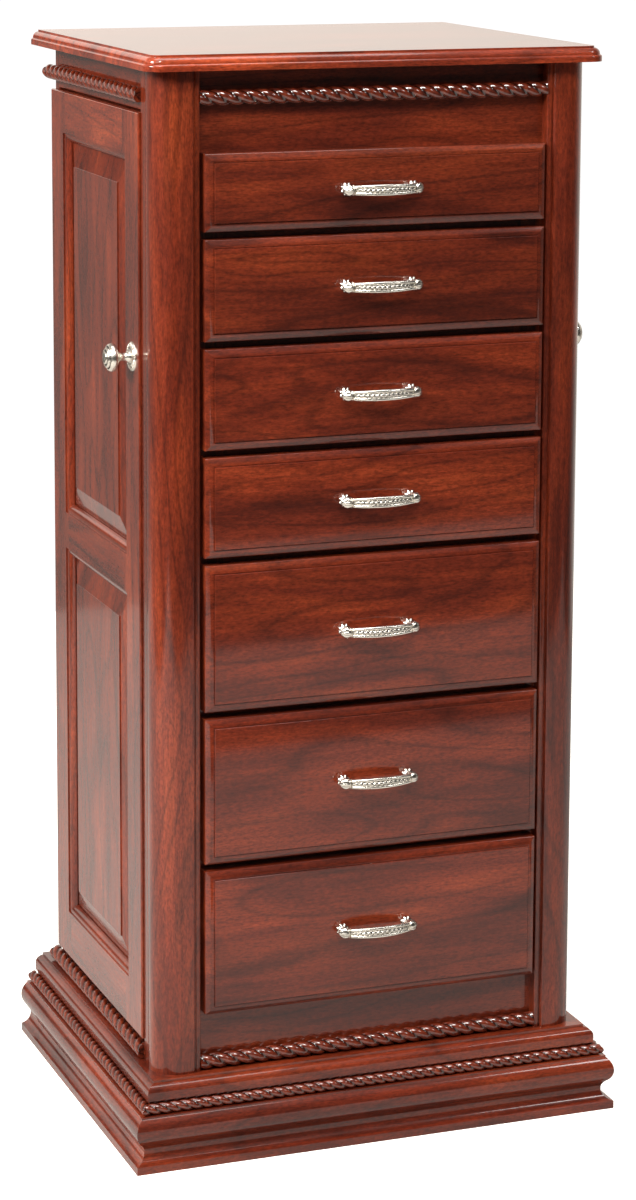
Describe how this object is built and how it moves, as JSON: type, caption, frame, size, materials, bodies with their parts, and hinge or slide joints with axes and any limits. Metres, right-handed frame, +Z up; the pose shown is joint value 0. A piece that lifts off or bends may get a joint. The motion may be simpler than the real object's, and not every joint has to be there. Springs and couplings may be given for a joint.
{
  "type": "jewelry armoire",
  "caption": "Free-standing wooden jewelry armoire: drawers in front, a hinged panelled door on each side, a lift-up lid over a ring tray, rope mouldings and a moulded plinth.",
  "frame": {"origin": "centre of the plinth's underside, on the floor", "axes": "+X to the right, -Y out of the drawer fronts, +Z up"},
  "size_m": [0.5716, 0.472, 1.2158],
  "materials": {
    "cherry": "stained cherry with a gloss lacquer",
    "inner_wood": "plain wood, lightly sealed",
    "pewter": "antiqued satin pewter",
    "hinge_brass": "satin brass",
    "hook_brass": "polished brass pegs on a wooden rail",
    "catch_plastic": "brown moulded plastic",
    "mirror_glass": "silvered glass",
    "felt": "short-pile felt"
  },
  "bodies": {
    "case": {"corner_post_left": "cherry", "corner_post_right": "cherry", "back_stiles": "cherry", "frieze_front": "cherry", "frieze_sides": "cherry", "apron_front": "cherry", "side_rails": "cherry", "face_stiles": "cherry", "drawer_rails": "cherry", "partitions": "inner_wood", "back_panel": "cherry", "bottom_board": "inner_wood", "tray_floor": "inner_wood", "tray_pad": "felt", "tray_dividers": "inner_wood", "ring_rolls": "felt", "drawer_runners": "inner_wood", "plinth_front": "cherry", "plinth_sides": "cherry", "plinth_back": "cherry", "frieze_ropes": "cherry", "base_ropes": "cherry", "plinth_ropes": "cherry", "door_hinge_case_leaves": "hinge_brass", "lid_hinge_case_leaves": "hinge_brass", "door_catches": "catch_plastic"},
    "lid": {"lid_board": "cherry", "lid_mirror": "mirror_glass", "lid_hinge_leaves": "hinge_brass"},
    "left_door": {"left_door_frame": "cherry", "left_door_panels": "cherry", "left_door_knob": "pewter", "left_door_necklace_hooks": "hook_brass", "left_door_hinge_leaves": "hinge_brass"},
    "right_door": {"right_door_frame": "cherry", "right_door_panels": "cherry", "right_door_knob": "pewter", "right_door_necklace_hooks": "hook_brass", "right_door_hinge_leaves": "hinge_brass"},
    "drawer_1": {"drawer_1_front": "cherry", "drawer_1_box": "inner_wood", "drawer_1_pull": "pewter"},
    "drawer_2": {"drawer_2_front": "cherry", "drawer_2_box": "inner_wood", "drawer_2_pull": "pewter"},
    "drawer_3": {"drawer_3_front": "cherry", "drawer_3_box": "inner_wood", "drawer_3_pull": "pewter"},
    "drawer_4": {"drawer_4_front": "cherry", "drawer_4_box": "inner_wood", "drawer_4_pull": "pewter"},
    "drawer_5": {"drawer_5_front": "cherry", "drawer_5_box": "inner_wood", "drawer_5_pull": "pewter"},
    "drawer_6": {"drawer_6_front": "cherry", "drawer_6_box": "inner_wood", "drawer_6_pull": "pewter"},
    "drawer_7": {"drawer_7_front": "cherry", "drawer_7_box": "inner_wood", "drawer_7_pull": "pewter"}
  },
  "joints": [
    {"name": "lid_hinge", "type": "hinge", "parent": "case", "child": "lid", "pos_m": [0, 0.2145, 1.19529], "axis": [-1, 0, 0], "range_deg": [0, 95]},
    {"name": "left_door_hinge", "type": "hinge", "parent": "case", "child": "left_door", "pos_m": [-0.2435, 0.1985, 0], "axis": [0, 0, -1], "range_deg": [0, 100]},
    {"name": "right_door_hinge", "type": "hinge", "parent": "case", "child": "right_door", "pos_m": [0.2435, 0.1985, 0], "axis": [0, 0, 1], "range_deg": [0, 100]},
    {"name": "drawer_1_slide", "type": "slide", "parent": "case", "child": "drawer_1", "axis": [0, -1, 0], "range_m": [0, 0.26]},
    {"name": "drawer_2_slide", "type": "slide", "parent": "case", "child": "drawer_2", "axis": [0, -1, 0], "range_m": [0, 0.26]},
    {"name": "drawer_3_slide", "type": "slide", "parent": "case", "child": "drawer_3", "axis": [0, -1, 0], "range_m": [0, 0.26]},
    {"name": "drawer_4_slide", "type": "slide", "parent": "case", "child": "drawer_4", "axis": [0, -1, 0], "range_m": [0, 0.26]},
    {"name": "drawer_5_slide", "type": "slide", "parent": "case", "child": "drawer_5", "axis": [0, -1, 0], "range_m": [0, 0.26]},
    {"name": "drawer_6_slide", "type": "slide", "parent": "case", "child": "drawer_6", "axis": [0, -1, 0], "range_m": [0, 0.26]},
    {"name": "drawer_7_slide", "type": "slide", "parent": "case", "child": "drawer_7", "axis": [0, -1, 0], "range_m": [0, 0.26]}
  ]
}
